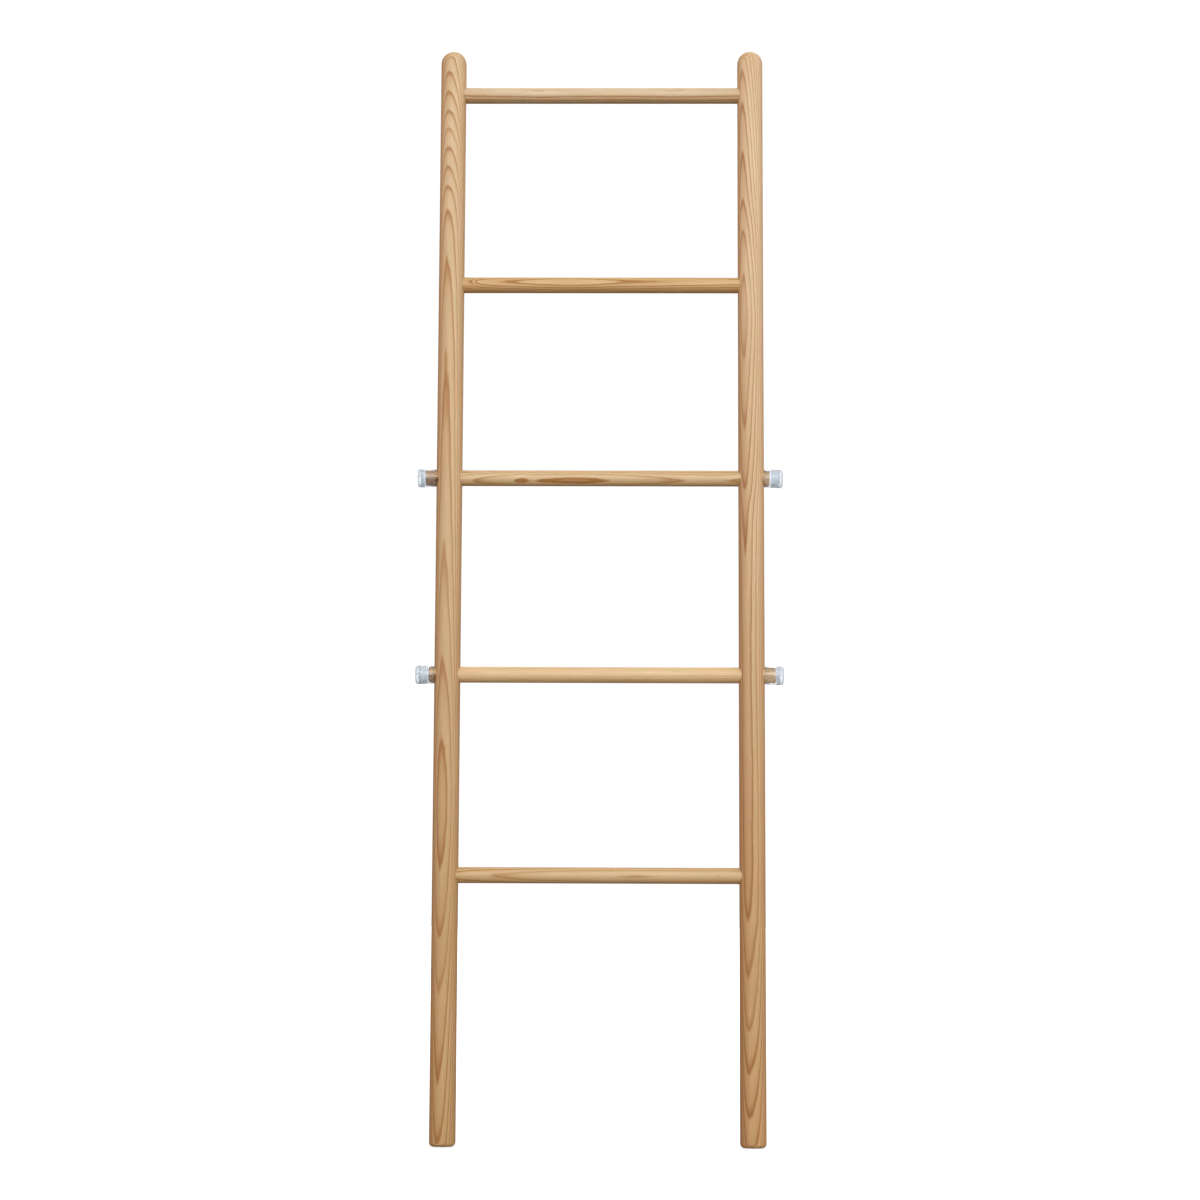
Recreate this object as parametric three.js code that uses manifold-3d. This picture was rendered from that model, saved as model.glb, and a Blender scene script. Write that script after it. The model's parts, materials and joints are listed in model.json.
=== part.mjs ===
// A leaning ladder rack for quilts, blankets and towels.
// Two round-edged stiles carry five round rungs. Three rungs are glued into blind sockets. The other two
// are loose: each passes through both stiles and is kept in by a clear cup cap pushed on to each end.
// Millimetres, +Z up, +X to the viewer's right, and the front of the rack faces -Y.

import * as THREE from 'three';
import { mergeVertices } from 'three/addons/utils/BufferGeometryUtils.js';
import Module from 'manifold-3d';

// Overall sizes.
const HEIGHT = 1695; // floor to the top of the stiles
const STILE_SPACING = 466; // between the stiles' centre lines

// Stiles.
const STILE_WIDTH = 39.5;
const STILE_DEPTH = 34;
const STILE_EDGE_RADIUS = 14; // rounding along the long edges, carried over the round top
const FOOT_EASING = 6; // rounding around the flat foot

// Rungs.
const RUNG_DIAMETER = 24.5;
const RUNG_PITCH = 305;
const TOP_RUNG_DROP = 70; // top of the stiles down to the top rung's centre line
const RUNG_END_EASING = 1.2;
const SOCKET_DEPTH = 24; // blind socket of a glued rung
const GLUE_LINE = 0.3; // gap around and behind a glued rung
const BORE_CLEARANCE = 0.4; // radial gap of a loose rung in the stiles
const LOOSE_RUNG_OVERHANG = 12.5; // how far a centred loose rung stands out of each stile
const UPPER_LOOSE_RUNG_SHIFT = -4; // how far it has slid to the side
const LOWER_LOOSE_RUNG_SHIFT = 4;

// Clear cup caps.
const CAP_LENGTH = 28;
const CAP_BASE = 5; // thickness of the closed end
const CAP_HEAD = 8; // length of the widest part, at the closed end
const CAP_WALL = 0.9; // at the rim
const CAP_FLARE = 0.8; // how much the radius grows from the rim to the head
const CAP_CORNER = 3; // rounding of the closed end
const CAP_BORE_CLEARANCE = 0.3;
const CAP_TO_STILE = 0.5; // gap between a cap's rim and the stile

// Clear stick-on bumpers: one under each foot, let into a recess, and one on the back of each stile near
// the top, where the rack leans on the wall.
const BUMPER_DIAMETER = 12;
const BUMPER_HEIGHT = 2.5;
const BUMPER_FACE_DIAMETER = 7; // the flat that meets the floor or the wall
const BUMPER_SIDE_GAP = 0.3; // around a bumper in its recess
const FOOT_BUMPER_PROUD = 1; // how far a foot bumper stands out of its recess
const WALL_BUMPER_DROP = 26; // top of the stiles down to a wall bumper's centre
const ADHESIVE_LINE = 0.3;

// Fineness of the faceted solids.
const ROUND_SEGMENTS = 28; // around a rung, bore, cap or bumper
const TOP_SEGMENTS = 14; // over the round top of a stile
const EDGE_SEGMENTS = 5; // across a rounded long edge
const CORNER_SEGMENTS = 4; // across a small rounded corner
const CUT_MARGIN = 20; // how far a cutting tool reaches past what it cuts
const TRIM_MARGIN = 0.3; // how far the foot's trimming column stands off the stile's sides

// Finishes.
const OAK = { color: 0xc49b6c, roughness: 0.55, metalness: 0 };
const PALE_OAK = { color: 0xd0a873, roughness: 0.5, metalness: 0 };
const CLEAR_VINYL = { color: 0xe4ebf2, roughness: 0.15, metalness: 0, transparent: true, opacity: 0.45 };

// Sizes that follow from the ones above.
const stileHalfWidth = STILE_WIDTH / 2;
const stileX = STILE_SPACING / 2;
const stileOuterX = stileX + stileHalfWidth;
const stileInnerX = stileX - stileHalfWidth;
const edgeRadius = Math.min(STILE_EDGE_RADIUS, stileHalfWidth - 1, STILE_DEPTH / 2 - 1);
const rungRadius = RUNG_DIAMETER / 2;
const gluedRungLength = 2 * (stileInnerX + SOCKET_DEPTH - GLUE_LINE);
const looseRungLength = 2 * (stileOuterX + LOOSE_RUNG_OVERHANG);
const backProud = ADHESIVE_LINE + BUMPER_HEIGHT;

// How many pitches each rung lies below the top one.
const GLUED_RUNGS = [
  { name: 'top_rung', pitches: 0 },
  { name: 'second_rung', pitches: 1 },
  { name: 'bottom_rung', pitches: 4 },
];
const LOOSE_RUNGS = [
  { name: 'upper', pitches: 2, shift: UPPER_LOOSE_RUNG_SHIFT },
  { name: 'lower', pitches: 3, shift: LOWER_LOOSE_RUNG_SHIFT },
];
const SIDES = [
  { name: 'left', sign: -1 },
  { name: 'right', sign: 1 },
];

const wasm = await Module();
wasm.setup();

// A closed three.js geometry as a manifold solid.
function toSolid(geometry) {
  const bare = geometry.clone();
  bare.deleteAttribute('normal');
  bare.deleteAttribute('uv');
  const merged = mergeVertices(bare, 1e-4);
  return new wasm.Manifold(new wasm.Mesh({
    numProp: 3,
    vertProperties: new Float32Array(merged.attributes.position.array),
    triVerts: new Uint32Array(merged.index.array),
  }));
}

// A manifold solid back as a three.js geometry.
function toGeometry(solid) {
  const mesh = solid.getMesh();
  const geometry = new THREE.BufferGeometry();
  geometry.setAttribute('position', new THREE.BufferAttribute(mesh.vertProperties, 3));
  geometry.setIndex(new THREE.BufferAttribute(mesh.triVerts, 1));
  return geometry;
}

function addPiece(parent, name, geometry, finish) {
  const flat = geometry.index ? geometry.toNonIndexed() : geometry;
  flat.computeVertexNormals();
  const mesh = new THREE.Mesh(flat, new THREE.MeshStandardMaterial(finish));
  mesh.name = name;
  parent.add(mesh);
  return mesh;
}

function rungHeight(pitches) {
  return HEIGHT - TOP_RUNG_DROP - pitches * RUNG_PITCH;
}

// Points of an arc about (cx, cy), from one angle to another.
function arcPoints(cx, cy, radius, from, to, segments) {
  const points = [];
  for (let i = 0; i <= segments; i += 1) {
    const angle = from + ((to - from) * i) / segments;
    points.push(new THREE.Vector2(cx + radius * Math.cos(angle), cy + radius * Math.sin(angle)));
  }
  return points;
}

// A turned piece: the profile's x is the radius and its y runs along the axis, which is laid on +Z.
function turned(profile) {
  const geometry = new THREE.LatheGeometry(profile, ROUND_SEGMENTS);
  geometry.rotateX(Math.PI / 2);
  return geometry;
}

// A plain round bar along +Z, centred, with eased ends.
function bar(radius, length, easing) {
  const half = length / 2;
  return turned([
    new THREE.Vector2(0, -half),
    new THREE.Vector2(radius - easing, -half),
    new THREE.Vector2(radius, -half + easing),
    new THREE.Vector2(radius, half - easing),
    new THREE.Vector2(radius - easing, half),
    new THREE.Vector2(0, half),
  ]);
}

// A cutting cylinder of the given radius and length along X, centred at (x, z).
function boreTool(radius, length, x, z) {
  const tool = new THREE.CylinderGeometry(radius, radius, length, ROUND_SEGMENTS);
  tool.rotateZ(Math.PI / 2);
  tool.translate(x, 0, z);
  return toSolid(tool);
}

// The stile's front outline, drawn in by the edge radius. The bevel brings it out to full size, so that
// the long edges and the round top share one rounding.
function stileBlank() {
  const inset = stileHalfWidth - edgeRadius;
  const topCentre = HEIGHT - stileHalfWidth;
  const outline = new THREE.Shape([
    new THREE.Vector2(-inset, -CUT_MARGIN),
    new THREE.Vector2(inset, -CUT_MARGIN),
    ...arcPoints(0, topCentre, inset, 0, Math.PI, TOP_SEGMENTS),
  ]);
  const flatDepth = STILE_DEPTH - 2 * edgeRadius;
  const blank = new THREE.ExtrudeGeometry(outline, {
    depth: flatDepth,
    bevelEnabled: true,
    bevelThickness: edgeRadius,
    bevelSize: edgeRadius,
    bevelSegments: EDGE_SEGMENTS,
  });
  blank.translate(0, 0, -flatDepth / 2);
  blank.rotateX(Math.PI / 2);
  return toSolid(blank);
}

// A column that keeps the stile's blank above the floor line and rounds off the rim of its foot.
function footTool() {
  const halfX = stileHalfWidth - FOOT_EASING;
  const halfY = STILE_DEPTH / 2 - FOOT_EASING;
  const radius = edgeRadius - FOOT_EASING;
  const section = new THREE.Shape([
    ...arcPoints(halfX - radius, halfY - radius, radius, 0, Math.PI / 2, EDGE_SEGMENTS),
    ...arcPoints(-halfX + radius, halfY - radius, radius, Math.PI / 2, Math.PI, EDGE_SEGMENTS),
    ...arcPoints(-halfX + radius, -halfY + radius, radius, Math.PI, 1.5 * Math.PI, EDGE_SEGMENTS),
    ...arcPoints(halfX - radius, -halfY + radius, radius, 1.5 * Math.PI, 2 * Math.PI, EDGE_SEGMENTS),
  ]);
  const column = new THREE.ExtrudeGeometry(section, {
    depth: HEIGHT + CUT_MARGIN,
    bevelEnabled: true,
    bevelThickness: FOOT_EASING,
    bevelSize: FOOT_EASING + TRIM_MARGIN,
    bevelSegments: CORNER_SEGMENTS,
  });
  column.translate(0, 0, FOOT_EASING + FOOT_BUMPER_PROUD);
  return toSolid(column);
}

// One stile, centred on its own axis. inward is +1 or -1, towards the other stile.
function stileGeometry(inward) {
  let stile = stileBlank().intersect(footTool());
  for (const { pitches } of GLUED_RUNGS) {
    const length = SOCKET_DEPTH + CUT_MARGIN;
    const x = inward * (stileHalfWidth - SOCKET_DEPTH + length / 2);
    stile = stile.subtract(boreTool(rungRadius + GLUE_LINE, length, x, rungHeight(pitches)));
  }
  for (const { pitches } of LOOSE_RUNGS) {
    const length = STILE_WIDTH + 2 * CUT_MARGIN;
    stile = stile.subtract(boreTool(rungRadius + BORE_CLEARANCE, length, 0, rungHeight(pitches)));
  }
  const recessTop = BUMPER_HEIGHT + ADHESIVE_LINE;
  const recessRadius = BUMPER_DIAMETER / 2 + BUMPER_SIDE_GAP;
  const recessLength = recessTop + CUT_MARGIN;
  const recess = new THREE.CylinderGeometry(recessRadius, recessRadius, recessLength, ROUND_SEGMENTS);
  recess.rotateX(Math.PI / 2);
  recess.translate(0, 0, recessTop - recessLength / 2);
  return toGeometry(stile.subtract(toSolid(recess)));
}

// A cup cap with its closed end at the origin and its mouth towards +Z.
function capGeometry() {
  const bore = rungRadius + CAP_BORE_CLEARANCE;
  const rim = bore + CAP_WALL;
  const head = rim + CAP_FLARE;
  return turned([
    new THREE.Vector2(0, 0),
    ...arcPoints(head - CAP_CORNER, CAP_CORNER, CAP_CORNER, -Math.PI / 2, 0, CORNER_SEGMENTS),
    new THREE.Vector2(head, CAP_HEAD),
    new THREE.Vector2(rim, CAP_LENGTH),
    new THREE.Vector2(bore, CAP_LENGTH),
    new THREE.Vector2(bore, CAP_BASE),
    new THREE.Vector2(0, CAP_BASE),
  ]);
}

// A bumper with its adhesive side at the origin and its working face towards +Z.
function bumperGeometry() {
  return turned([
    new THREE.Vector2(0, 0),
    new THREE.Vector2(BUMPER_DIAMETER / 2, 0),
    new THREE.Vector2(BUMPER_DIAMETER / 2, BUMPER_HEIGHT / 2),
    new THREE.Vector2(BUMPER_FACE_DIAMETER / 2, BUMPER_HEIGHT),
    new THREE.Vector2(0, BUMPER_HEIGHT),
  ]);
}

const rack = new THREE.Group();

// The stiles' mid plane is set forward of the origin, so that the origin is under the middle of the whole
// rack, bumpers included.
const body = new THREE.Group();
body.position.y = -backProud / 2;
rack.add(body);

for (const { name, sign } of SIDES) {
  const stile = addPiece(body, `${name}_stile`, stileGeometry(-sign), OAK);
  stile.position.x = sign * stileX;

  const footBumper = addPiece(body, `${name}_foot_bumper`, bumperGeometry(), CLEAR_VINYL);
  footBumper.rotation.x = Math.PI;
  footBumper.position.set(sign * stileX, 0, BUMPER_HEIGHT);

  const wallBumper = addPiece(body, `${name}_wall_bumper`, bumperGeometry(), CLEAR_VINYL);
  wallBumper.rotation.x = -Math.PI / 2;
  wallBumper.position.set(sign * stileX, STILE_DEPTH / 2 + ADHESIVE_LINE, HEIGHT - WALL_BUMPER_DROP);
}

for (const { name, pitches } of GLUED_RUNGS) {
  const rung = addPiece(body, name, bar(rungRadius, gluedRungLength, RUNG_END_EASING), PALE_OAK);
  rung.rotation.y = Math.PI / 2;
  rung.position.z = rungHeight(pitches);
}

for (const { name, pitches, shift } of LOOSE_RUNGS) {
  const looseRung = bar(rungRadius, looseRungLength, RUNG_END_EASING);
  const rung = addPiece(body, `${name}_loose_rung`, looseRung, PALE_OAK);
  rung.rotation.y = Math.PI / 2;
  rung.position.set(shift, 0, rungHeight(pitches));

  for (const side of SIDES) {
    const cap = addPiece(body, `${name}_${side.name}_cap`, capGeometry(), CLEAR_VINYL);
    cap.rotation.y = (-side.sign * Math.PI) / 2;
    cap.position.set(side.sign * (stileOuterX + CAP_TO_STILE + CAP_LENGTH), 0, rungHeight(pitches));
  }
}

export default rack;
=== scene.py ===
# %% [markdown]
# # A leaning ladder rack
# A ladder rack leans on a wall and holds quilts, blankets or towels over its rungs. This one has two
# round-topped wooden stiles and five round rungs. Three rungs are glued in. The other two are loose: they
# run through both stiles, and clear cup caps on their ends keep them from sliding out.
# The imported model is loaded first. It fixes where each piece is and which body each piece moves with, and
# the finer pieces made below take their sizes and places from it.

# %% Load the frame
import json
import math

import bmesh
import bpy
from mathutils import Matrix, Vector


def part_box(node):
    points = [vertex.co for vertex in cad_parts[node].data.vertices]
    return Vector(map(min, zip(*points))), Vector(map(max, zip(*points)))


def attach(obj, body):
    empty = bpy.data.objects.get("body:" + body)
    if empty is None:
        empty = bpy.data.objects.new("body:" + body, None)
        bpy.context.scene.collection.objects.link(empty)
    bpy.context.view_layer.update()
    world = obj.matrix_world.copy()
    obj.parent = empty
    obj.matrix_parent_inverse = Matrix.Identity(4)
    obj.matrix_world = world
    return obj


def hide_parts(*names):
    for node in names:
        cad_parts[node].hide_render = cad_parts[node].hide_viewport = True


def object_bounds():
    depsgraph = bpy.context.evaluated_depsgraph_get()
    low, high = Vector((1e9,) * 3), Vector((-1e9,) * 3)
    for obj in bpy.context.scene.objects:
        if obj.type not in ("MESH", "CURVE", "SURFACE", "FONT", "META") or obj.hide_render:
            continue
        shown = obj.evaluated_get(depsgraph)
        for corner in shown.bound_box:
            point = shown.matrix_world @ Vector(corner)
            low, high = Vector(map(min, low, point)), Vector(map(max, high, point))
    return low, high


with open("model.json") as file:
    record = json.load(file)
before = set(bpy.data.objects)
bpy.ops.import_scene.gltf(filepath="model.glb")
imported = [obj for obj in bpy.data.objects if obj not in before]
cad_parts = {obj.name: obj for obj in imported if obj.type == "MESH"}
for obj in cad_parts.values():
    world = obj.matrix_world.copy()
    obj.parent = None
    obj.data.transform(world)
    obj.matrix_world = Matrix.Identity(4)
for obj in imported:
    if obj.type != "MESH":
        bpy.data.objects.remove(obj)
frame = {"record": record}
cad_box = [list(corner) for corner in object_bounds()]
MM = 0.001
print("CAD box in metres:", cad_box)

# %% [markdown]
# ## The camera
# A long lens keeps the stiles almost parallel. The camera stands low and looks slightly up, so the top of
# the rack is a little farther away and a little narrower, as it is on a rack that leans back. Turning,
# tilting and rolling are three separate small rotations, so each has its own name.

# %% Place the camera
CAMERA_PLACE = Vector((0.047, -3.815, 0.369))
CAMERA_TURN = math.radians(0.70)
CAMERA_TILT = math.radians(6.83)
CAMERA_ROLL = math.radians(0.22)

camera_data = bpy.data.cameras.new("camera")
camera_data.sensor_width = 36
camera_data.lens = 75
camera = bpy.data.objects.new("camera", camera_data)
bpy.context.scene.collection.objects.link(camera)
turn = Matrix.Rotation(CAMERA_TURN, 4, "Z")
tilt = Matrix.Rotation(math.pi / 2 + CAMERA_TILT, 4, "X")
roll = Matrix.Rotation(CAMERA_ROLL, 4, "Z")
camera.matrix_world = Matrix.Translation(CAMERA_PLACE) @ turn @ tilt @ roll
bpy.context.scene.camera = camera
print("camera at", tuple(round(v, 3) for v in CAMERA_PLACE), "lens", camera_data.lens, "mm")

# %% [markdown]
# ## Shader maths as Python
# A material is a graph of nodes. Wiring each node by hand hides the idea, so this class wraps one output
# socket and lets Python's own operators add the Math nodes. Any other node comes from its add method,
# which sets the node's settings first and then its sockets.

# %% Wrap a socket
class Wire:
    """One output socket. Arithmetic on it adds Math nodes to its tree."""

    def __init__(self, tree, socket=None):
        self.tree = tree
        self.socket = socket

    def add(self, kind, settings=None, sockets=None, out=0):
        """Adds a node: its settings first, then the values or links of its sockets."""
        node = self.tree.nodes.new(kind)
        for name, value in (settings or {}).items():
            if name == "points":
                curve = node.mapping.curves[0].points
                while len(curve) < len(value):
                    curve.new(0.5, 0.5)
                for point, place in zip(curve, value):
                    point.location = place
                node.mapping.update()
            else:
                setattr(node, name, value)
        for name, value in (sockets or {}).items():
            if isinstance(value, Wire):
                self.tree.links.new(value.socket, node.inputs[name])
            else:
                node.inputs[name].default_value = value
        return Wire(self.tree, node.outputs[out] if node.outputs else None)

    def math(self, operation, *others):
        """A Math node with this socket first."""
        values = dict(enumerate((self, *others)))
        return self.add("ShaderNodeMath", {"operation": operation}, values)

    def __add__(self, other):
        return self.math("ADD", other)

    def __sub__(self, other):
        return self.math("SUBTRACT", other)

    def __rsub__(self, other):
        return self.add("ShaderNodeMath", {"operation": "SUBTRACT"}, {0: other, 1: self})

    def __mul__(self, other):
        return self.math("MULTIPLY", other)

    def __truediv__(self, other):
        return self.math("DIVIDE", other)

    __radd__ = __add__
    __rmul__ = __mul__


print("Wire ready: arithmetic on it adds Math nodes")

# %% [markdown]
# ## A few more nodes as functions
# A Math node would turn a colour grey, so colours go through a Mix node. Soft steps, vectors and noise are
# needed again and again too. Each gets a short name here, and so do starting and ending a material.

# %% Colours, steps, vectors and noise
def host(*values):
    """The first wrapped socket among some values, which says which tree they belong to."""
    return next(value for value in values if isinstance(value, Wire))


def mix_colour(factor, first, second, blend="MIX"):
    """Mixes two colours. Each value may be a plain one or a wire."""
    settings = {"data_type": "RGBA", "blend_type": blend}
    sockets = {0: factor, 6: first, 7: second}
    return host(factor, first, second).add("ShaderNodeMix", settings, sockets, out=2)


def step_between(value, low, high):
    """0 below low, 1 above high, and a soft step between them."""
    settings = {"interpolation_type": "SMOOTHSTEP"}
    return value.add("ShaderNodeMapRange", settings, {"Value": value, "From Min": low, "From Max": high})


def join(x, y, z):
    """A vector from three values."""
    return host(x, y, z).add("ShaderNodeCombineXYZ", None, {0: x, 1: y, 2: z})


def noise(point, detail=2.0, roughness=0.5):
    """Smooth noise from about 0.25 to 0.75 at an already scaled point."""
    sockets = {"Vector": point, "Scale": 1.0, "Detail": detail, "Roughness": roughness}
    return point.add("ShaderNodeTexNoise", None, sockets)


def new_material(name):
    """An empty node material, and a starting wire for its tree."""
    material = bpy.data.materials.new(name)
    material.use_nodes = True
    material.node_tree.nodes.clear()
    return material, Wire(material.node_tree)


def finish_material(wire, shader):
    """Joins a shader to the material's output."""
    wire.add("ShaderNodeOutputMaterial", None, {"Surface": shader})


print("node functions ready")

# %% [markdown]
# ## Wood that is solid all through
# Boards are sawn out of a trunk, and a trunk is a stack of cones: one growth ring each year. Where a
# board's face only grazes those cones, the rings show as tall pointed arches. So the pattern is not
# painted on the face. It is worked out in space: how far each point of the piece was from the trunk's
# middle, divided by the width of a ring. A curve then says how many rings the face climbs through along
# the piece. Where the curve is steep the arches crowd, and where it turns back they close into an island.
#
# An arch has its tip at the point of the section that lies farthest from the trunk's middle, or nearest
# to it when that middle is on the front's own side. How many rings out that is can be worked out from the
# section's outline. With it taken off, each whole number on the curve puts a tip at that height.

# %% Find an arch's tip
EDGE_ROUNDING = 14 * MM
WAVE_WIDTH = 20 * MM
FLAT_STEPS = 20
ROUND_STEPS = 40
ROUND_STEP_TURN = math.radians(2)


def front_outline(half_width, half_depth, rounding):
    """Points (aside, behind) along the rounded front of a section."""
    points = []
    for i in range(-FLAT_STEPS - ROUND_STEPS, FLAT_STEPS + ROUND_STEPS + 1):
        flat = max(-1.0, min(1.0, i / FLAT_STEPS))
        turn = ROUND_STEP_TURN * max(0, abs(i) - FLAT_STEPS) * (1 if i > 0 else -1)
        points.append(((half_width - rounding) * flat + rounding * math.sin(turn),
                       rounding - half_depth - rounding * math.cos(turn)))
    return points


def tip_level(outline, heart, ring, wave):
    """How many rings out from the heart an arch has its tip on that outline."""
    levels = [math.hypot(x - heart[0], y - heart[1]) / ring
              + wave * math.cos(2 * math.pi * x / WAVE_WIDTH) for x, y in outline]
    return max(levels) if heart[1] > 0 else min(levels)


sample = front_outline(20 * MM, 17 * MM, EDGE_ROUNDING)
print("on a 40 mm board with its heart 100 mm behind and 2 mm rings, a tip lies",
      round(tip_level(sample, (0, 100 * MM), 2 * MM, 0), 1), "rings out")

# %% [markdown]
# ## Counting the rings
# A real trunk is not a perfect cone. Its heart drifts, its rings swell in and out, and the fibres fray the
# edge of each ring. The drift and the fraying are noises that are stretched along the grain, as wood is.
# The heart may also lean: it then moves aside from one end of the piece to the other, and takes the tips
# with it.

# %% Count the rings
DRIFT_RATE = 3.5
DRIFT_REACH = 4 * MM
WOBBLE_RATE = (16, 70)
WOBBLE_RINGS = 0.28
JITTER_RATE = (90, 1100)
JITTER_RINGS = 0.11


def streaks(spot, rate, seed, detail=2.0, roughness=0.5):
    """Noise stretched along the grain. rate is how often it changes in a metre, along it and across it."""
    along, aside, behind = spot
    point = join(along * rate[0] + seed, aside * rate[1], behind * rate[1])
    return noise(point, detail, roughness)


def count_rings(spot, fraction, heart, ring, climb, tip, seed, wave, lean):
    """How many rings out each point lies, as seen from an arch's tip."""
    along, aside, behind = spot
    most = max(rings for _, rings in climb)
    points = [(where, rings / most) for where, rings in climb]
    climbed = fraction.add("ShaderNodeFloatCurve", {"points": points}, {"Value": fraction}) * most
    drift = noise(join(along * DRIFT_RATE + seed, seed * 1.7, 0.0), detail=1.0) - 0.5
    side = aside - heart[0] - lean * fraction + drift * DRIFT_REACH
    back = behind - heart[1]
    distance = (side * side + back * back).math("SQRT")
    wobble = streaks(spot, WOBBLE_RATE, seed) - 0.5
    jitter = streaks(spot, JITTER_RATE, seed, detail=1.0) - 0.5
    swell = (aside * (2 * math.pi / WAVE_WIDTH)).math("COSINE")
    return distance / ring - tip - climbed + wobble * WOBBLE_RINGS + jitter * JITTER_RINGS + swell * wave


print("a ring's edge frays by less than", (WOBBLE_RINGS + JITTER_RINGS) / 2, "of a ring each way")

# %% [markdown]
# ## The line of a ring
# On a ring-porous wood such as ash or oak, each ring starts with a sharp dark line of large pores and
# then fades into pale, dense wood. Some years leave a strong line and others a faint one, so each ring
# draws its strength by its own number.

# %% Draw each ring's line
FAINTEST_LINE = 0.48


def draw_lines(rings, seed, depth):
    """Three masks: where the large pores are, the dark line, and the warm tone that fades behind it."""
    phase = rings.math("FRACT")
    number = rings.math("FLOOR")
    luck = rings.add("ShaderNodeTexWhiteNoise", {"noise_dimensions": "1D"}, {"W": number + seed})
    strength = FAINTEST_LINE + (1 - FAINTEST_LINE) * step_between(luck, 0.05, 0.60)
    porous = step_between(phase, 0.0, 0.10) * (1 - step_between(phase, 0.05, 0.40))
    line = porous * strength * depth
    warmth = (1 - step_between(phase, 0.05, 0.85)) * strength * depth
    return porous, line, warmth


print("the faintest ring's line has", FAINTEST_LINE, "of the strongest one's depth")

# %% [markdown]
# ## The wood between the lines
# Pale wood is never one colour. Fine fibres run the length of it, broad rosy clouds drift through it, and
# small olive patches break it up. Pores are short dark dashes, and most of them lie in the rings' lines.

# %% Colour the wood between the lines
FIBRE_RATE = (1000 / 70, 1000 / 0.9)
CLOUD_RATE = (7, 45)
PATCH_RATE = (22, 160)
PORE_RATE = (1000 / 7, 1000 / 0.35)
DULL_FIBRE = (0.89, 0.89, 0.89)
BRIGHT_FIBRE = (1.15, 1.15, 1.15)
ROSY = (0.93, 0.84, 0.76)
OLIVE = (0.92, 0.97, 0.84)


def shade(colour, by):
    """A colour times another one, with full opacity."""
    return [v * w for v, w in zip(colour, by)] + [1]


def ground_colour(spot, fibre, pale, seed):
    """The colour of the pale wood."""
    cloud = streaks(spot, CLOUD_RATE, seed)
    patch = streaks(spot, PATCH_RATE, -seed, detail=3.0)
    ground = mix_colour(step_between(fibre, 0.30, 0.70), shade(pale, DULL_FIBRE), shade(pale, BRIGHT_FIBRE))
    ground = mix_colour(step_between(cloud, 0.35, 0.70) * 0.6, ground, shade(pale, ROSY))
    return mix_colour(step_between(patch, 0.45, 0.68) * 0.6, ground, shade(pale, OLIVE))


def pore_mask(spot, porous, seed):
    """Where the pores are: a few everywhere, and many where the wood is porous."""
    return step_between(streaks(spot, PORE_RATE, seed, detail=1.0), 0.56, 0.68) * (0.25 + 0.75 * porous)


print("a rosy cloud is about", [round(1000 / rate) for rate in CLOUD_RATE], "mm long and wide")

# %% [markdown]
# ## Edges and ends
# Towards its rounded edges a board is cut across more rings, and its tone deepens there. The same tint is
# also painted shade: it is centred off the middle, so a stile's left edge and a rung's underside get more.
# A round rung does the same, much less. The low end of a stile is painted darker too, as shade. Where a
# loose rung stands out past the stiles, under its caps, its wood is painted with shade, most of all
# underneath and at the left end.

# %% Deepen the edges and the ends
# The rims' tint is the wood's own deeper tone there and painted shade together.
RIM_TONE_AND_SHADE = {"Z": (0.72, 0.56, 0.42), "X": (0.98, 0.84, 0.68)}
# Painted shade for a loose rung's ends past the stiles, under their caps.
UNDER_CAP_SHADE = (0.36, 0.26, 0.17)
RIGHT_END_LESS = 0.6
TOP_LESS = 0.75
OUTSIDE = max(abs(corner[0]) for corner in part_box("left_stile"))


def shade_and_edge_tone(aside, fraction, width, foot, grain):
    """Painted shade that deepens towards the low end, and a rim tint that is the wood's deeper tone there
    and painted shade, stronger on one side.
    """
    rim = step_between((aside - 0.12 * width).math("ABSOLUTE"), 0.08 * width, 0.66 * width)
    tint = mix_colour(step_between(fraction, 0.0, 0.95), (*foot, 1), (1, 1, 1, 1))
    return mix_colour(rim, tint, (*RIM_TONE_AND_SHADE[grain], 1), "MULTIPLY")


def paint_end_shade(colour, x, height, fraction, width):
    """Paints shade on a rung's wood where it stands out past the stiles, under its caps."""
    outside = step_between(x.math("ABSOLUTE"), OUTSIDE - 10 * MM, OUTSIDE - 4 * MM)
    by_end = 1 - RIGHT_END_LESS * step_between(fraction, 0.4, 0.6)
    by_height = 1 - TOP_LESS * step_between(height, -0.10 * width, 0.12 * width)
    return mix_colour(outside * by_end * by_height, colour, (*UNDER_CAP_SHADE, 1), "MULTIPLY")


print("a rung is outside the stiles from", round(OUTSIDE / MM, 1), "mm out")

# %% [markdown]
# ## One recipe for every wooden piece
# The same steps make all seven wooden pieces. Only the trunk's middle, the climb through its rings, the
# colours and the seed differ, so no two pieces look alike. The lines and pores are also a little sunk and a
# little rougher than the wood around them, under a thin coat of oil.

# %% Put the wood together
AXES = {"Z": (2, 0, 1), "X": (0, 2, 1)}


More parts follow.
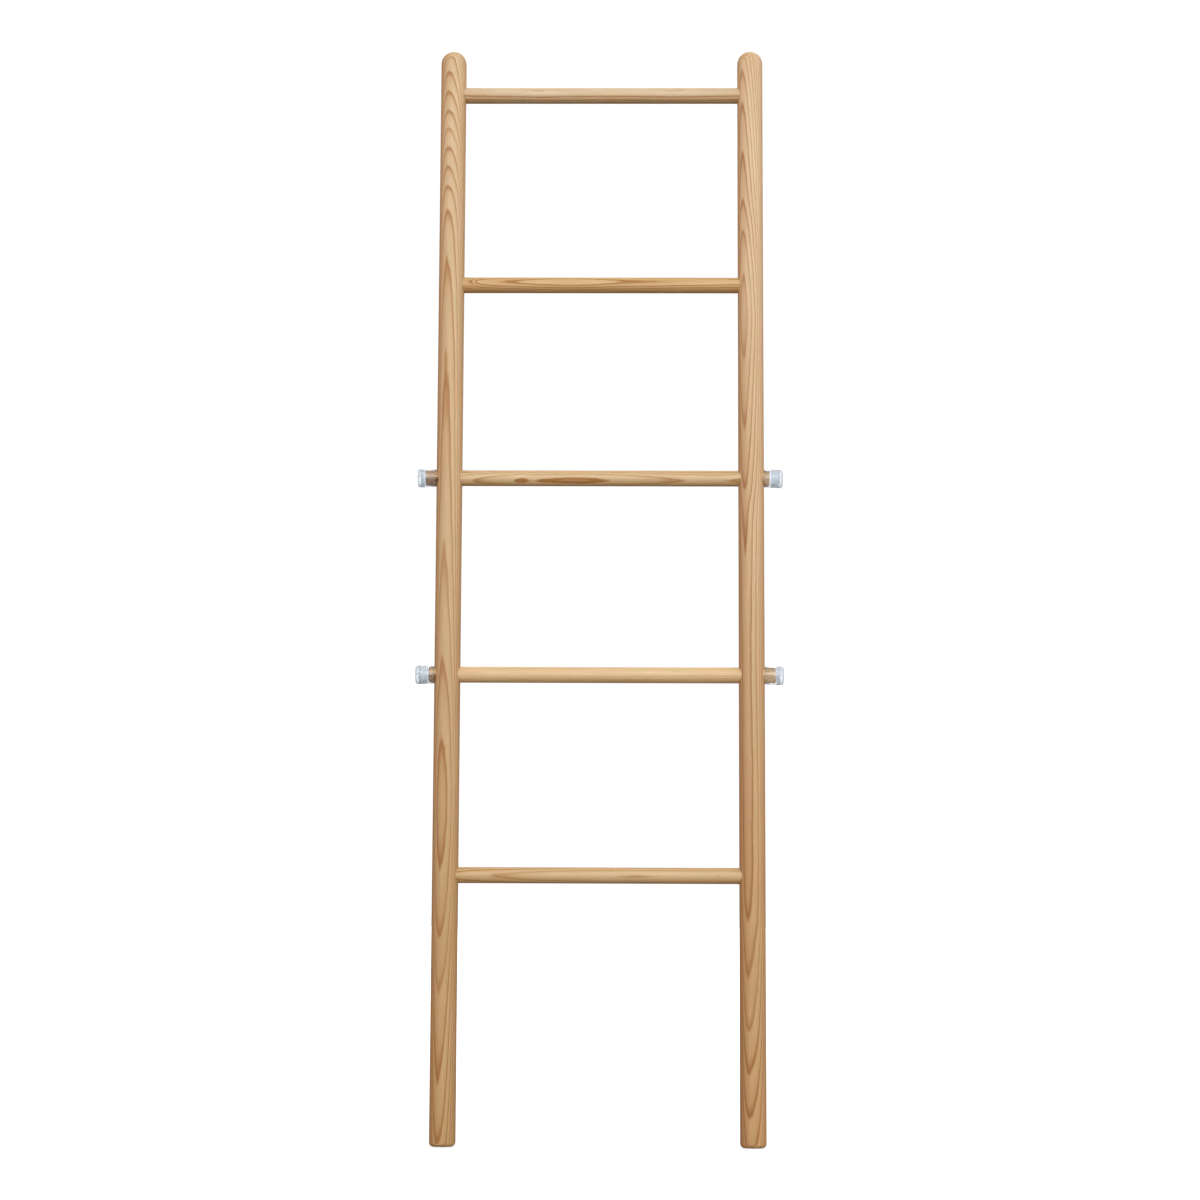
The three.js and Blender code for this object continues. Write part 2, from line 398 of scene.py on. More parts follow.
def wood(node, grain, pale, band, heart, ring, climb, seed, depth=1.0, wave=0.0, lean=0.0,
         foot=(1, 1, 1)):
    """Wood for one piece, with its grain along an axis.

    heart is the trunk's middle, measured aside and behind from the piece's centre. ring is the width of a
    ring. climb is a list of (how far along the piece, rings): an arch has its tip wherever the climb is a
    whole number. depth scales how dark the lines are. wave is how much the rings swell across the piece,
    in rings. lean is how far the heart moves aside from the low end to the high end. foot is the colour of
    the painted shade that darkens the low end.
    """
    low, high = (Vector(corner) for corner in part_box(node))
    centre = (low + high) / 2
    width, thickness = ((high - low)[axis] for axis in AXES[grain][1:])
    material, start = new_material(f"{node}_wood")
    place = start.add("ShaderNodeTexCoord", out="Object")
    place = start.add("ShaderNodeMapping", None, {"Vector": place, "Location": -centre})
    parts = [start.add("ShaderNodeSeparateXYZ", None, {0: place}, out=i) for i in range(3)]
    spot = [parts[axis] for axis in AXES[grain]]
    along, aside = spot[:2]
    fraction = along / max(high - low) + 0.5

    outline = front_outline(width / 2, thickness / 2, EDGE_ROUNDING if grain == "Z" else width / 2)
    low_tip, high_tip = (tip_level(outline, (middle, heart[1]), ring, wave)
                         for middle in (heart[0], heart[0] + lean))
    tip = low_tip + (high_tip - low_tip) * fraction
    rings = count_rings(spot, fraction, heart, ring, climb, tip, seed, wave, lean)
    porous, line, warmth = draw_lines(rings, seed, depth)
    pores = pore_mask(spot, porous, seed)
    fibre = streaks(spot, FIBRE_RATE, seed, detail=4.0, roughness=0.65)

    dark = shade(band, (0.80, 0.66, 0.50))
    colour = ground_colour(spot, fibre, pale, seed)
    colour = mix_colour(warmth * 0.40, colour, (*band, 1))
    colour = mix_colour((line * 0.95).math("MINIMUM", 1.0), colour, dark)
    colour = mix_colour(pores * 0.34, colour, shade(dark, (0.8, 0.8, 0.8)))
    # The edges' tint is partly the wood's deeper tone and partly painted shade, and the low end's is
    # painted shade.
    colour = mix_colour(1.0, colour, shade_and_edge_tone(aside, fraction, width, foot, grain), "MULTIPLY")
    if grain == "X":
        # Painted shade on a loose rung's ends, darkest underneath and at the left end.
        colour = paint_end_shade(colour, along + centre.x, aside, fraction, width)

    relief = line * 0.5 + pores + fibre * 0.25
    bump = start.add("ShaderNodeBump", None,
                     {"Strength": 0.35, "Distance": 0.12 * MM, "Height": 1 - relief})
    shader = start.add("ShaderNodeBsdfPrincipled", None, {
        "Base Color": colour,
        "Roughness": 0.42 + 0.14 * line + 0.12 * pores + 0.10 * fibre,
        "Normal": bump,
        "Coat Weight": 0.10,
        "Coat Roughness": 0.35,
    })
    finish_material(start, shader)
    print(f"{material.name}: an arch's tip is {low_tip:.1f} to {high_tip:.1f} rings out")
    return material


print("wood recipe ready")

# %% [markdown]
# ## Two stiles, two boards
# The left stile was sawn so that its face climbs fast through the rings near the top, hardly at all in
# the middle, and back again towards the foot: close arches, then one long tongue, then tongues that point
# down. The right stile runs nearly with the rings, so its right half is straight lines, and its heart leans
# to the right on the way up. Both are painted darker towards the foot, a painted shade where the light
# falls off.

# %% Stile wood
LEFT_PALE = (0.69, 0.485, 0.280)
RIGHT_PALE = (0.75, 0.540, 0.330)
STILE_BAND = (0.55, 0.290, 0.100)
STILE_RING = 1.8 * MM

# foot, below, is the painted shade that darkens each stile's low end.
stile_wood = {
    "left": wood(
        "left_stile", "Z", LEFT_PALE, STILE_BAND, heart=(25 * MM, 183 * MM), ring=STILE_RING, climb=[
            (0, 5), (0.054, 4), (0.128, 3), (0.18, 2), (0.24, 1), (0.305, 0.45), (0.369, 1), (0.437, 2),
            (0.537, 3), (0.715, 4), (0.806, 5), (0.851, 6), (0.873, 7), (0.91, 9), (0.945, 11), (1, 14)],
        seed=3.1, wave=0.18, foot=(0.80, 0.71, 0.56)),
    "right": wood(
        "right_stile", "Z", RIGHT_PALE, STILE_BAND, heart=(8 * MM, 98 * MM), ring=STILE_RING, climb=[
            (0, 10.6), (0.054, 9), (0.089, 8), (0.126, 7), (0.175, 6), (0.225, 5), (0.295, 4.7),
            (0.47, 4.5), (0.5575, 4), (0.595, 3), (0.65, 2), (0.733, 1), (0.744, 0.9), (0.755, 1),
            (0.808, 2), (0.873, 4), (0.952, 6), (1, 7.5)],
        seed=8.6, wave=0.15, lean=36 * MM, foot=(0.76, 0.63, 0.46)),
}
print("stile wood:", ", ".join(material.name for material in stile_wood.values()))

# %% [markdown]
# ## Five rungs, five sticks
# Rungs are turned from odd sticks, so each has a grain of its own. One shows a long island with a warm
# rim, one has dark tongues low on its front, one is almost plain. The second rung's heart is in front of
# it, so its arches point the other way round the bar.

# %% Rung wood
GREY_TAN = (0.69, 0.520, 0.335)
GOLDEN = (0.68, 0.450, 0.220)
PALE_HONEY = (0.71, 0.510, 0.300)
CREAM = (0.77, 0.545, 0.310)
HONEY = (0.66, 0.460, 0.255)
RUNG_BAND = (0.50, 0.270, 0.080)

rung_wood = {
    "top_rung": wood(
        "top_rung", "X", GREY_TAN, RUNG_BAND, heart=(-14 * MM, 30 * MM), ring=4.2 * MM, climb=[
            (0, 0.32), (0.15, 0.24), (0.37, 0.08), (0.5, 0.17), (0.72, 0.07), (0.95, 0.26), (1, 0.3)],
        seed=12.7, depth=1.1),
    "second_rung": wood(
        "second_rung", "X", GOLDEN, RUNG_BAND, heart=(7.5 * MM, -29 * MM), ring=3.2 * MM, climb=[
            (0, 0), (0.078, 1), (0.092, 2), (0.236, 3), (0.4, 3.5), (0.558, 3), (0.8, 2.6), (1, 2.3)],
        seed=18.0, depth=1.5),
    "upper_loose_rung": wood(
        "upper_loose_rung", "X", PALE_HONEY, RUNG_BAND, heart=(15 * MM, 32 * MM), ring=3.0 * MM, climb=[
            (0, 3.2), (0.142, 2), (0.25, 1.15), (0.281, 0.92), (0.31, 1.10), (0.338, 1), (0.44, 0.75),
            (0.555, 1), (0.803, 2), (0.84, 2.05), (0.87, 1.95), (1, 1.2)],
        seed=24.1, depth=1.5),
    "lower_loose_rung": wood(
        "lower_loose_rung", "X", CREAM, RUNG_BAND, heart=(60 * MM, 40 * MM), ring=2.6 * MM, climb=[
            (0, 1.3), (0.5, 1.45), (1, 1.35)],
        seed=28.6, depth=0.25),
    "bottom_rung": wood(
        "bottom_rung", "X", HONEY, RUNG_BAND, heart=(3 * MM, 34 * MM), ring=3.2 * MM, climb=[
            (0, 3), (0.1, 2.2), (0.3, 1.5), (0.552, 1), (0.615, 0.93), (0.679, 1), (0.8, 1.12),
            (0.87, 1.0), (0.885, 0.97), (0.9, 1.03), (1, 1.1)],
        seed=33.9, depth=1.35),
}
print("rung wood:", ", ".join(rung_wood))

# %% [markdown]
# ## Clear vinyl
# The end caps and bumpers are moulded in soft clear vinyl. Light goes through it, bent a little, so it is
# a glassy shader with a low index and a slightly hazy surface. Where a cap sleeves its rung it hardly tints
# the wood. Past the rung's end there is only vinyl, and it looks milky and blue-grey, most of all at the
# thick closed end. Glass alone can't look milky, so it is mixed with a clouded, matt shader by how deep
# the vinyl is. Each loose rung has slid a little and ends at its own place, so each cap has its own
# material. Fine waves in the surface come from the mould and break up the reflections.

# %% A clear plastic that turns milky where it is thick
FINE_GRAIN_RATE = 700
MOULD_WAVE_RATE = 170
MOST_CLOUDED = 0.50


def scaled(place, rate):
    """A point for a noise that changes rate times in a metre."""
    return place.add("ShaderNodeVectorMath", {"operation": "SCALE"}, {0: place, "Scale": rate})


def clear_vinyl(name, haze, thin, thick, deep):
    """Clear moulded plastic. deep gives how thick it is, from 0 to 1, from the place's wire."""
    material, start = new_material(name)
    place = start.add("ShaderNodeTexCoord", out="Object")
    grain = noise(scaled(place, FINE_GRAIN_RATE), detail=2.0)
    waves = noise(scaled(place, MOULD_WAVE_RATE), detail=1.0)
    bump = start.add("ShaderNodeBump", None,
                     {"Strength": 0.5, "Distance": 0.4 * MM, "Height": waves + grain * 0.10})
    milky = deep(place)
    cloudy = milky * (0.75 + 0.5 * waves)
    clear = start.add("ShaderNodeBsdfPrincipled", None, {
        "Base Color": mix_colour(cloudy, (*thin, 1), (*thick, 1)),
        "Roughness": haze + 0.06 * grain + 0.10 * milky,
        "Normal": bump,
        "Transmission Weight": 0.98,
        "IOR": 1.46,
        "Specular IOR Level": 0.25,
    })
    body = mix_colour(waves, (*thick, 1), shade(thick, (1.12, 1.12, 1.12)))
    # The thickest vinyl, at the closed end, is painted darker: painted shade for the dark rim that bent
    # light draws there.
    clouded = start.add("ShaderNodeBsdfPrincipled", None, {
        "Base Color": mix_colour(step_between(milky, 0.72, 1.0), body, shade(thick, (0.70, 0.70, 0.70))),
        "Roughness": 0.30 + 0.10 * grain,
        "Normal": bump,
    })
    share = MOST_CLOUDED * cloudy
    finish_material(start, start.add("ShaderNodeMixShader", None, {0: share, 1: clear, 2: clouded}))
    return material


print("vinyl recipe ready")

# %% Vinyl for the caps and the bumpers
CAP_END = max(abs(v) for v in (cad_box[0][0], cad_box[1][0]))
CAP_HAZE = 0.08
CAP_THIN = (0.93, 0.94, 0.95)
CAP_THICK = (0.72, 0.78, 0.84)
PAST_RUNG = 0.70
BUMPER_HAZE = 0.10
BUMPER_THIN = (0.92, 0.94, 0.95)
BUMPER_THICK = (0.75, 0.80, 0.84)
BUMPER_RATE = 90


def past_rung_end(rung, side):
    """0 where a cap sleeves its rung, then PAST_RUNG beyond the rung's end, and 1 at the closed end."""
    rung_end = abs(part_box(rung)[0 if side < 0 else 1][0])

    def deep(place):
        x = place.add("ShaderNodeSeparateXYZ", None, {0: place}).math("ABSOLUTE")
        past = step_between(x, rung_end, rung_end + 3 * MM)
        closed = step_between(x, CAP_END - 4 * MM, CAP_END - 1 * MM)
        return PAST_RUNG * past + (1 - PAST_RUNG) * closed

    return deep


def evenly(place):
    """The same thickness everywhere, apart from a faint drift."""
    return 0.1 + 0.1 * noise(scaled(place, BUMPER_RATE))


cap_vinyl = {
    f"{level}_{name}_cap": clear_vinyl(f"{level}_{name}_vinyl", CAP_HAZE, CAP_THIN, CAP_THICK,
                                       past_rung_end(f"{level}_loose_rung", side))
    for level in ("upper", "lower") for name, side in (("left", -1), ("right", 1))}
bumper_vinyl = clear_vinyl("bumper_vinyl", BUMPER_HAZE, BUMPER_THIN, BUMPER_THICK, evenly)
print("clear materials:", ", ".join(cap_vinyl), "and", bumper_vinyl.name)

# %% [markdown]
# ## Finishing a piece
# Every piece ends the same way: its bmesh becomes a mesh, sharp corners stay sharp while round faces are
# smooth, it gets its material, it is named after the CAD node it stands for, that node is hidden, and it
# rides on the node's body.

# %% Finish a piece
SHARP = math.radians(32)


def finish_piece(bm, node, material):
    """Turns a bmesh into the piece that stands for a CAD node."""
    mesh = bpy.data.meshes.new(f"{node}_fine")
    bmesh.ops.recalc_face_normals(bm, faces=bm.faces)
    bm.to_mesh(mesh)
    bm.free()
    mesh.materials.append(material)
    mesh.shade_smooth()
    mesh.set_sharp_from_angle(angle=SHARP)
    piece = bpy.data.objects.new(f"{node}_fine", mesh)
    bpy.context.scene.collection.objects.link(piece)
    body = next(name for name, nodes in frame["record"]["behaviour"]["bodies"].items() if node in nodes)
    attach(piece, body)
    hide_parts(node)
    mesh.calc_loop_triangles()
    print(f"{piece.name}: {len(mesh.loop_triangles)} triangles, rides on {body}")


print("corners sharper than", round(math.degrees(SHARP)), "degrees stay sharp")

# %% [markdown]
# ## The stiles
# A stile is a long board with a half-round top. A router runs round both of its faces with a large round
# bit, and the foot is sawn flat and eased with a smaller one. The same steps work here: draw the front
# outline with a spin for the top, give it thickness, bevel the two rims, saw off the foot and bevel that
# cut. The board starts longer than it ends, so that the large bevel has run out before the saw cut.

# %% Shape a stile
FOOT_EASING = 6 * MM
TOP_STEPS = 40
SPARE = 60 * MM
SAME_PLACE = 0.01 * MM


def ease(bm, edges, size, segments):
    """Rounds edges."""
    bmesh.ops.bevel(bm, geom=edges, offset=size, offset_type="OFFSET", affect="EDGES",
                    segments=segments, profile=0.5, material=-1, clamp_overlap=True)


def stile_blank(node):
    """A stile before drilling."""
    low, high = (Vector(corner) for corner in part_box(node))
    half = (high.x - low.x) / 2
    centre = (low.x + high.x) / 2
    crown = Vector((centre, low.y, high.z - half))
    bm = bmesh.new()
    foot = [bm.verts.new((centre + sign * half, low.y, low.z - SPARE)) for sign in (1, -1)]
    shoulder = bm.verts.new((centre + half, low.y, crown.z))
    bm.edges.new((foot[0], shoulder))
    spun = bmesh.ops.spin(bm, geom=[shoulder], cent=crown, axis=(0, -1, 0), angle=math.pi,
                          steps=TOP_STEPS, use_merge=False)
    last = next(item for item in spun["geom_last"] if isinstance(item, bmesh.types.BMVert))
    bm.edges.new((last, foot[1]))
    bm.edges.new((foot[1], foot[0]))
    bmesh.ops.contextual_create(bm, geom=bm.edges[:])
    grown = bmesh.ops.extrude_face_region(bm, geom=bm.faces[:], use_keep_orig=True)
    moved = [item for item in grown["geom"] if isinstance(item, bmesh.types.BMVert)]
    bmesh.ops.translate(bm, verts=moved, vec=(0, high.y - low.y, 0))
    rims = [edge for edge in bm.edges if abs(edge.verts[0].co.y - edge.verts[1].co.y) < MM
            and max(v.co.z for v in edge.verts) > low.z]
    ease(bm, rims, EDGE_ROUNDING, 12)
    everything = bm.verts[:] + bm.edges[:] + bm.faces[:]
    sawn = bmesh.ops.bisect_plane(bm, geom=everything, plane_co=(0, 0, low.z), plane_no=(0, 0, -1),
                                  clear_outer=True)
    cut = [item for item in sawn["geom_cut"] if isinstance(item, bmesh.types.BMEdge)]
    bmesh.ops.contextual_create(bm, geom=cut)
    sole = [edge for edge in bm.edges if all(abs(v.co.z - low.z) < SAME_PLACE for v in edge.verts)]
    ease(bm, sole, FOOT_EASING, 6)
    return bm


print("edges rounded to", EDGE_ROUNDING / MM, "mm, foot eased by", FOOT_EASING / MM, "mm")

# %% [markdown]
# ## Drilling the stiles
# The glued rungs sit in blind sockets, the loose ones run through bores that leave them a little play, and
# a bumper sits in a shallow recess under each foot. Each hole has the shape of its drill, so the drills of
# a stile are set out first, as round bars in one bmesh. Each is a little wider than what goes in its hole.

# %% Set out the drills
SOCKET_DEPTH = 24 * MM
GLUE_LINE = 0.12 * MM
LOOSE_FIT = 0.4 * MM
BUMPER_FIT = 0.3 * MM
BAR_SEGMENTS = 96
BUMPER_SEGMENTS = 48
GLUED_RUNGS = ("top_rung", "second_rung", "bottom_rung")
LOOSE_RUNGS = ("upper_loose_rung", "lower_loose_rung")


def round_bar(bm, radius, start, end, segments):
    """Adds a closed round bar between two points that lie on one line along X or Z."""
    line = Vector(end) - Vector(start)
    turn = Vector((0, 0, 1)).rotation_difference(line).to_matrix().to_4x4()
    centre = Matrix.Translation((Vector(start) + Vector(end)) / 2)
    bmesh.ops.create_cone(bm, cap_ends=True, segments=segments, radius1=radius, radius2=radius,
                          depth=line.length, matrix=centre @ turn)


def drill_tools(name, side):
    """The drills for one stile. side is -1 for the left one and 1 for the right one."""
    low, high = (Vector(corner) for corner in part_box(f"{name}_stile"))
    inner = high.x if side < 0 else low.x
    tools = bmesh.new()
    for rung in GLUED_RUNGS + LOOSE_RUNGS:
        rung_low, rung_high = (Vector(corner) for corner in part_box(rung))
        radius = (rung_high.z - rung_low.z) / 2
        axis = (rung_low + rung_high) / 2
        glued = rung in GLUED_RUNGS
        bottom = inner + side * (SOCKET_DEPTH if glued else SPARE)
        start = Vector((bottom, axis.y, axis.z))
        end = Vector((inner - side * SPARE, axis.y, axis.z))
        round_bar(tools, radius + (GLUE_LINE if glued else LOOSE_FIT), start, end, BAR_SEGMENTS)
    bumper_low, bumper_high = (Vector(corner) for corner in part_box(f"{name}_foot_bumper"))
    radius = (bumper_high.x - bumper_low.x) / 2 + BUMPER_FIT
    axis = (bumper_low + bumper_high) / 2
    recess = bumper_high.z + BUMPER_FIT
    round_bar(tools, radius, (axis.x, axis.y, -SPARE), (axis.x, axis.y, recess), BUMPER_SEGMENTS)
    return tools


print("sockets", SOCKET_DEPTH / MM, "mm deep, bores", LOOSE_FIT / MM, "mm wider all round than their rungs")

# %% [markdown]
# Then one boolean takes all of them out of the blank. The exact solver is slower than the fast one, but
# it leaves clean edges where a bore meets the rounded rim. It runs as a modifier, and its result is read
# into a new bmesh, so that nothing live is left on the finished stile.

# %% Cut the holes
def cut_away(bm, tools):
    """Cuts one bmesh with another and returns the result as a new bmesh."""
    objects = []
    for name, source in (("blank", bm), ("tools", tools)):
        bmesh.ops.recalc_face_normals(source, faces=source.faces)
        mesh = bpy.data.meshes.new(name)
        source.to_mesh(mesh)
        source.free()
        objects.append(bpy.data.objects.new(name, mesh))
        bpy.context.scene.collection.objects.link(objects[-1])
    blank, tool = objects
    boolean = blank.modifiers.new("cut", "BOOLEAN")
    boolean.operation = "DIFFERENCE"
    boolean.solver = "EXACT"
    boolean.object = tool
    result = bmesh.new()
    result.from_object(blank, bpy.context.evaluated_depsgraph_get())
    for thing in objects:
        mesh = thing.data
        bpy.data.objects.remove(thing)
        bpy.data.meshes.remove(mesh)
    return result


for name, side in (("left", -1), ("right", 1)):
    drilled = cut_away(stile_blank(f"{name}_stile"), drill_tools(name, side))
    finish_piece(drilled, f"{name}_stile", stile_wood[name])

# %% [markdown]
# ## The rungs
# A rung is a turned bar. Its ends are eased so that it starts into its hole without splitting the rim. A
# cone with equal ends makes the bar, and a bevel on the two end circles eases it.

# %% Turn the rungs
RUNG_EASING = 1.2 * MM

for node in GLUED_RUNGS + LOOSE_RUNGS:
    low, high = (Vector(corner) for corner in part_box(node))
    axis = (low + high) / 2
    bm = bmesh.new()
    radius = (high.z - low.z) / 2
    round_bar(bm, radius, (low.x, axis.y, axis.z), (high.x, axis.y, axis.z), BAR_SEGMENTS)
    ends = [edge for edge in bm.edges if abs(edge.verts[0].co.x - edge.verts[1].co.x) < MM]
    ease(bm, ends, RUNG_EASING, 4)
    finish_piece(bm, node, rung_wood[node])

# %% [markdown]
# ## Round mouldings
# Caps and bumpers are round, so half of a section is drawn once, as a chain of points from the axis back to
# the axis, and a full spin makes the rest. The corners that a mould would round are beveled afterwards,
# circle by circle: it is easier to find a circle on the finished shape than to draw its arc beforehand.

# %% Mould round things
MERGED = 0.002 * MM
ON_CIRCLE = 0.02 * MM


def spin_section(bm, points, origin, axis, segments):
    """Spins a section about an axis. Each point is (radius, distance along the axis)."""
    across = axis.orthogonal().normalized()
    chain = [bm.verts.new(origin + across * r + axis * s) for r, s in points]
    edges = [bm.edges.new(pair) for pair in zip(chain, chain[1:])]
    bmesh.ops.spin(bm, geom=chain + edges, cent=origin, axis=axis, angle=2 * math.pi, steps=segments,
                   use_merge=True)
    bmesh.ops.remove_doubles(bm, verts=bm.verts, dist=MERGED)


def ring_edges(bm, origin, axis, radius, distance):
    """The edges of the circle at that radius and distance along the axis."""
    def on_circle(vert):
        offset = vert.co - origin
        s = offset.dot(axis)
        r = (offset - axis * s).length
        return abs(r - radius) < ON_CIRCLE and abs(s - distance) < ON_CIRCLE
    return [edge for edge in bm.edges if all(on_circle(vert) for vert in edge.verts)]


def moulding(section, corners, origin, axis, segments):
    """A spun section with rounded corners. Each corner is (radius, distance, rounding, steps)."""
    bm = bmesh.new()
    spin_section(bm, section, origin, axis, segments)
    for radius, distance, rounding, steps in corners:
        ease(bm, ring_edges(bm, origin, axis, radius, distance), rounding, steps)
    return bm


print("moulding functions ready")

# %% [markdown]
# ## The end caps
# A cup cap is a soft moulding: a thick closed end, a slightly slimmer sleeve, and a few low grip rings
# inside that hold it on the bar. A shallow dimple in the closed end is where the mould was filled.

# %% Mould the caps
CAP_HEAD = 8 * MM
CAP_FLOOR = 5 * MM
CAP_WALL = 0.9 * MM
CAP_PLAY = 0.3 * MM
CAP_SEGMENTS = 72
GRIP_HEIGHT = 0.12 * MM
GRIP_WIDTH = 0.8 * MM
GRIP_PITCH = 2.2 * MM
GRIP_RINGS = 3
GATE_RADIUS = 2.6 * MM
GATE_DEPTH = 0.5 * MM


def mould_cap(node, inward):
    """One cap. inward is 1 or -1, the way along X from its closed end to its mouth."""
    low, high = (Vector(corner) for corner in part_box(node))
    length = high.x - low.x
    head = (high.z - low.z) / 2
    rung_low, rung_high = (Vector(corner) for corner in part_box(f"{node.split('_')[0]}_loose_rung"))
    bore = (rung_high.z - rung_low.z) / 2 + CAP_PLAY
    rim = bore + CAP_WALL
    origin = Vector((low.x if inward > 0 else high.x, (low.y + high.y) / 2, (low.z + high.z) / 2))
    grips = []
    for i in range(GRIP_RINGS):
        middle = length - GRIP_PITCH * (i + 1)
        grips += [(bore, middle + GRIP_WIDTH / 2), (bore - GRIP_HEIGHT, middle),
                  (bore, middle - GRIP_WIDTH / 2)]
    section = [(0, GATE_DEPTH), (GATE_RADIUS, GATE_DEPTH), (GATE_RADIUS + GATE_DEPTH, 0), (head, 0),
               (head, CAP_HEAD), (rim, length), (bore, length), *grips, (bore, CAP_FLOOR), (0, CAP_FLOOR)]
    corners = [(head, 0, 3 * MM, 8), (head, CAP_HEAD, 1.5 * MM, 4), (rim, length, 0.4 * MM, 3),
               (bore, length, 0.35 * MM, 3), (bore, CAP_FLOOR, 1.5 * MM, 5)]
    bm = moulding(section, corners, origin, Vector((inward, 0, 0)), CAP_SEGMENTS)
    finish_piece(bm, node, cap_vinyl[node])


for level in ("upper", "lower"):
    for name, side in (("left", -1), ("right", 1)):
        mould_cap(f"{level}_{name}_cap", -side)

# %% [markdown]
# ## The bumpers
# Small clear bumpers keep the feet from slipping and the back from marking the wall. Each is a low dome
# with a flat working face.

# %% Mould the bumpers
BUMPER_FACE = 3.5 * MM


def mould_bumper(node, way):
    """One bumper. way points from its adhesive side to its working face."""
    axis = Vector(way)
    low, high = (Vector(corner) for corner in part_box(node))
    size = high - low
    height = abs(size.dot(axis))
    radius = size.x / 2
    origin = (low + high) / 2 - axis * height / 2
    section = [(0, 0), (radius, 0), (radius, height / 2), (BUMPER_FACE, height), (0, height)]
    corners = [(radius, height / 2, 0.9 * MM, 4), (BUMPER_FACE, height, 0.5 * MM, 4),
               (radius, 0, 0.15 * MM, 2)]
    bm = moulding(section, corners, origin, axis, BUMPER_SEGMENTS)
    finish_piece(bm, node, bumper_vinyl)


for name in ("left", "right"):
    mould_bumper(f"{name}_foot_bumper", (0, 0, -1))
    mould_bumper(f"{name}_wall_bumper", (0, 1, 0))

# %% [markdown]
# ## The floor
# The rack is shown on white. A floor that is lit like everything else would turn grey far away, so it
# glows a little, more with distance, and only what stands on it darkens it. The glow is for looking at:
# what the floor throws back on the rack comes from a darker, matt floor.

# %% Floor
FLOOR_HALF = 30.0
GLOW_NEAR = 0.66
GLOW_FAR = 1.02

bm = bmesh.new()
bmesh.ops.create_grid(bm, x_segments=8, y_segments=8, size=FLOOR_HALF)
floor_mesh = bpy.data.meshes.new("floor")
bm.to_mesh(floor_mesh)
bm.free()
floor = bpy.data.objects.new("floor", floor_mesh)
bpy.context.scene.collection.objects.link(floor)
floor_material, start = new_material("white_floor")
place = start.add("ShaderNodeTexCoord", out="Object")
reach = place.add("ShaderNodeVectorMath", {"operation": "LENGTH"}, {0: place}, out="Value")
glow = GLOW_NEAR + (GLOW_FAR - GLOW_NEAR) * step_between(reach, 1.0, 4.0)
glowing = start.add("ShaderNodeEmission", None, {"Color": (1, 1, 1, 1), "Strength": glow})
matt_seen = start.add("ShaderNodeBsdfDiffuse", None, {"Color": (0.62, 0.62, 0.62, 1)})
matt_bounce = start.add("ShaderNodeBsdfDiffuse", None, {"Color": (0.30, 0.30, 0.30, 1)})
seen = start.add("ShaderNodeAddShader", None, {0: glowing, 1: matt_seen})
direct = start.add("ShaderNodeLightPath", out="Is Camera Ray")
through = start.add("ShaderNodeLightPath", out="Is Transmission Ray")
looked_at = direct.math("MAXIMUM", through)
finish_material(start, start.add("ShaderNodeMixShader", None, {0: looked_at, 1: matt_bounce, 2: seen}))
floor_mesh.materials.append(floor_material)
print("floor", 2 * FLOOR_HALF, "m wide")

# %% [markdown]
# ## The sky
# The sky is white where it is looked at. Seen through clear vinyl it is white only in front of and behind
# the rack and darker to the sides, which draws the dark rims that clear things have. As a light it is a
# soft grey, a little brighter above, so that the undersides of the rungs stay dark.

# %% Sky
SKY_WHITE = 1.05
SKY_ASIDE = 0.30
SKY_LOW = 0.15
SKY_HIGH = 0.25

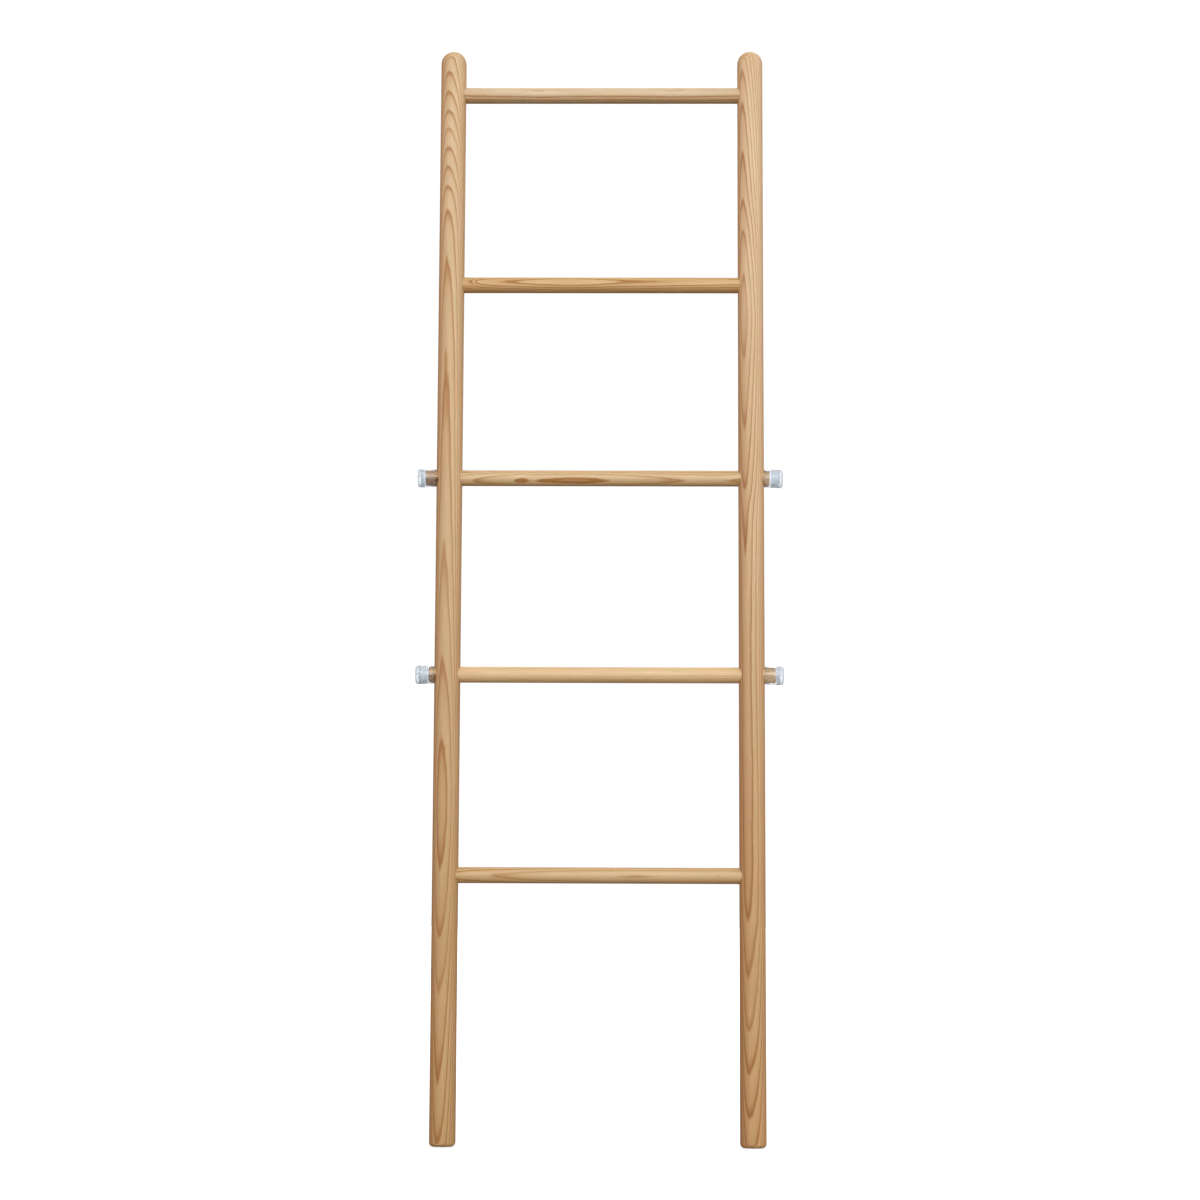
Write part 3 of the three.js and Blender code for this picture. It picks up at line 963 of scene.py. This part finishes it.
world = bpy.data.worlds.new("white_sky")
bpy.context.scene.world = world
world.use_nodes = True
world.node_tree.nodes.clear()
start = Wire(world.node_tree)
direction = start.add("ShaderNodeTexCoord", out="Generated")
facing = start.add("ShaderNodeSeparateXYZ", None, {0: direction}, out=1).math("ABSOLUTE")
up = start.add("ShaderNodeSeparateXYZ", None, {0: direction}, out=2)
behind_vinyl = SKY_ASIDE + (SKY_WHITE - SKY_ASIDE) * step_between(facing, 0.62, 0.97)
as_light = SKY_LOW + (SKY_HIGH - SKY_LOW) * step_between(up, -0.25, 0.60)
looks = [((1, 1, 1, 1), SKY_WHITE), ((0.93, 0.96, 1.0, 1), behind_vinyl), ((0.95, 0.97, 1.0, 1), as_light)]
shown, through_vinyl, lighting = (
    start.add("ShaderNodeBackground", None, {"Color": colour, "Strength": strength})
    for colour, strength in looks)
direct = start.add("ShaderNodeLightPath", out="Is Camera Ray")
through = start.add("ShaderNodeLightPath", out="Is Transmission Ray")
sky = start.add("ShaderNodeMixShader", None, {0: through, 1: lighting, 2: through_vinyl})
sky = start.add("ShaderNodeMixShader", None, {0: direct, 1: sky, 2: shown})
start.add("ShaderNodeOutputWorld", None, {"Surface": sky})
print("sky ready, white at", SKY_WHITE)

# %% [markdown]
# ## The lights
# The light is even, with hardly a shadow: one large softbox near the camera, two wider ones to the sides
# that model the rounded edges, and one behind for the back. A sun with a wide angle acts as a far softbox.
# They stand low, because the tops of the rungs are hardly brighter than their fronts.

# %% Lights
def soft_sun(name, azimuth, elevation, strength, spread, colour):
    """A large far softbox. Azimuth 0 stands in front of the rack, and 90 to its right."""
    data = bpy.data.lights.new(name, "SUN")
    data.energy = strength
    data.angle = math.radians(spread)
    data.color = colour
    light = bpy.data.objects.new(name, data)
    height = math.sin(math.radians(elevation))
    reach = math.cos(math.radians(elevation))
    aside = math.sin(math.radians(azimuth)) * reach
    front = -math.cos(math.radians(azimuth)) * reach
    light.rotation_euler = Vector((aside, front, height)).to_track_quat("Z", "Y").to_euler()
    bpy.context.scene.collection.objects.link(light)
    print(name, "azimuth", azimuth, "elevation", elevation, "strength", strength)


soft_sun("key", 8, 20, 1.55, 50, (1.0, 0.99, 0.97))
soft_sun("left_fill", -66, 13, 1.60, 60, (1.0, 1.0, 1.0))
soft_sun("right_fill", 66, 13, 1.60, 60, (1.0, 1.0, 1.0))
soft_sun("back_fill", 180, 40, 1.1, 70, (1.0, 1.0, 1.0))

# %% Show colours as they are
view = bpy.context.scene.view_settings
view.view_transform = "Standard"
view.look = "None"
print("view transform:", view.view_transform)
